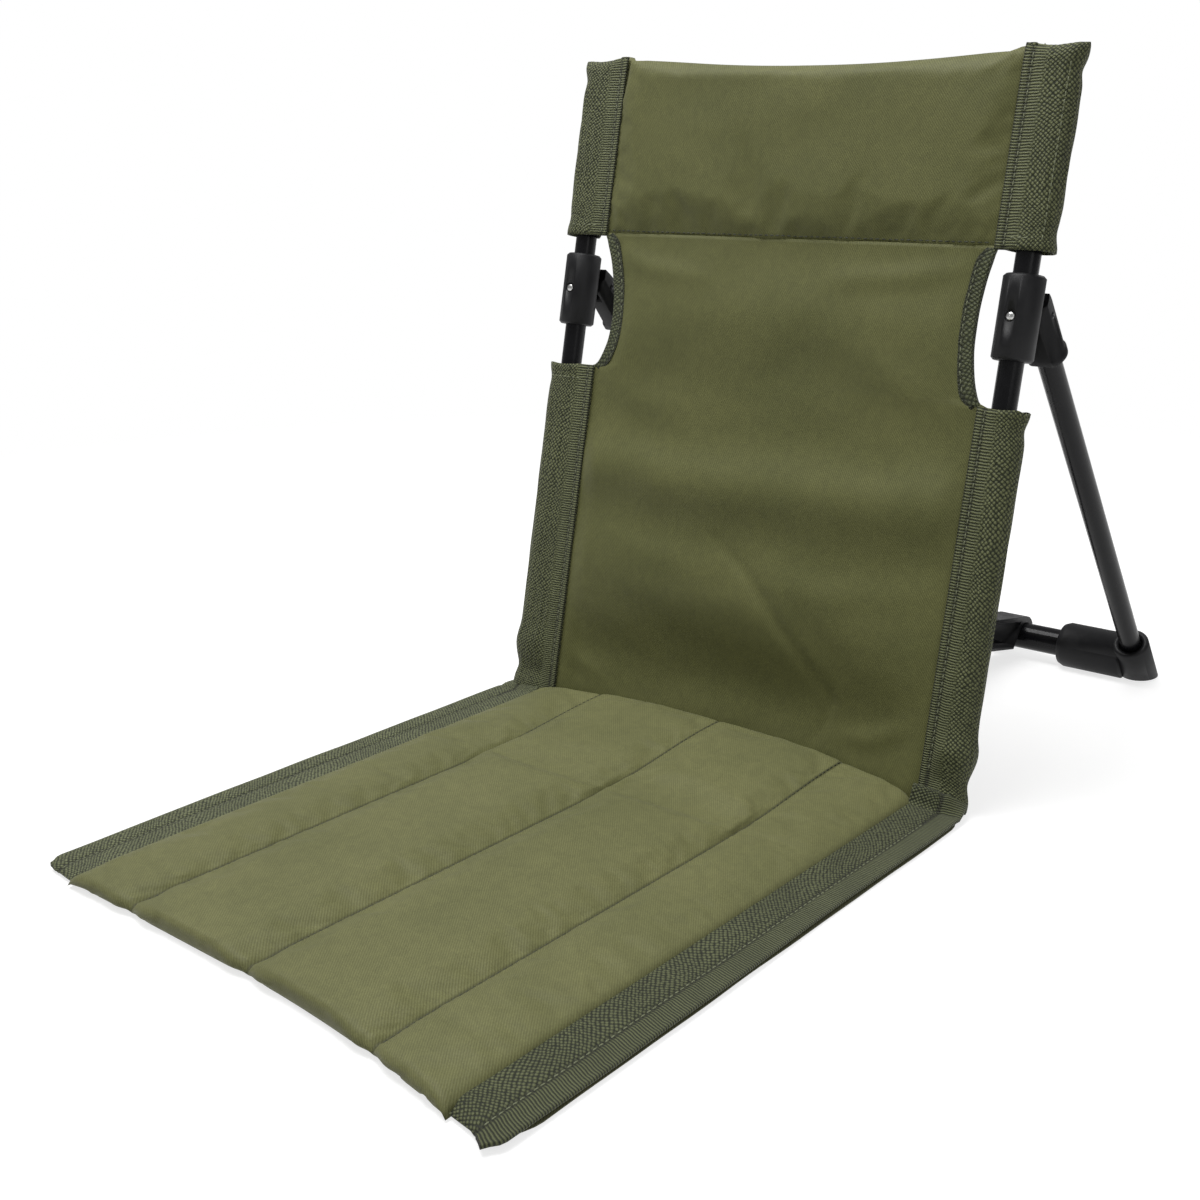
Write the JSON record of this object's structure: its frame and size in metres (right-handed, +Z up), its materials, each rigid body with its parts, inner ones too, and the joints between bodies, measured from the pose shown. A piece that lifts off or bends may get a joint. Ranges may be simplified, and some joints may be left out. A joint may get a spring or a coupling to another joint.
{
  "type": "folding floor chair",
  "caption": "Legless camping chair that lies on the ground: quilted cloth seat, reclined cloth back on steel tubes, and a rear leg frame locked by hooks that folds flat.",
  "frame": {"origin": "middle of the chair's footprint, on the floor", "axes": "+Z up, +Y to the rear, from the seat's front edge to the feet of the legs, +X to the sitter's left when seated"},
  "size_m": [0.4, 0.7938, 0.4784],
  "materials": {
    "steel_tube": "semi-gloss black powder coat on steel tube",
    "plastic": "black moulded nylon, fine matt grain",
    "bare_steel": "plain zinc-plated steel",
    "panel_cloth": "olive polyester twill with a soft sheen",
    "base_cloth": "dark olive plain-woven underside cloth",
    "webbing": "coarse dark green woven edging",
    "foam": "soft open-cell foam, hidden"
  },
  "bodies": {
    "back": {"left_back_tube": "steel_tube", "right_back_tube": "steel_tube", "lower_cross_tube": "steel_tube", "left_pivot_bracket": "plastic", "right_pivot_bracket": "plastic", "bracket_rivets": "bare_steel", "pivot_pins": "bare_steel", "tube_top_caps": "plastic", "tube_bottom_caps": "plastic", "back_panel": "panel_cloth", "headrest_cover": "panel_cloth", "headrest_foam": "foam", "left_head_pocket": "webbing", "right_head_pocket": "webbing", "left_back_sleeve": "webbing", "right_back_sleeve": "webbing", "left_cutout_binding": "webbing", "right_cutout_binding": "webbing", "fold_gusset": "panel_cloth"},
    "seat": {"seat_base_cloth": "base_cloth", "seat_foam": "foam", "seat_top_cloth": "panel_cloth", "left_seat_border": "webbing", "right_seat_border": "webbing"},
    "leg_frame": {"left_leg_tube": "steel_tube", "right_leg_tube": "steel_tube", "left_leg_socket": "plastic", "right_leg_socket": "plastic", "floor_crossbar": "steel_tube", "left_foot_corner": "plastic", "right_foot_corner": "plastic"},
    "left_hook": {"left_hook": "plastic"},
    "right_hook": {"right_hook": "plastic"}
  },
  "joints": [
    {"name": "leg_fold", "type": "hinge", "parent": "back", "child": "leg_frame", "pos_m": [0, 0.1276, 0.31486], "axis": [-1, 0, 0], "range_deg": [0, 50.6]},
    {"name": "seat_fold", "type": "hinge", "parent": "back", "child": "seat", "pos_m": [0, 0.02482, 0.0135], "axis": [-1, 0, 0], "range_deg": [0, 100]},
    {"name": "left_hook_swing", "type": "hinge", "parent": "back", "child": "left_hook", "pos_m": [-0.075, 0.06066, 0.08169], "axis": [1, 0, 0], "range_deg": [0, 84]},
    {"name": "right_hook_swing", "type": "hinge", "parent": "back", "child": "right_hook", "pos_m": [0.075, 0.06066, 0.08169], "axis": [1, 0, 0], "range_deg": [0, 84]}
  ],
  "couplings": [
    {"joint": "left_hook_swing", "follows": "leg_fold", "ratio": 1.66},
    {"joint": "right_hook_swing", "follows": "leg_fold", "ratio": 1.66}
  ]
}
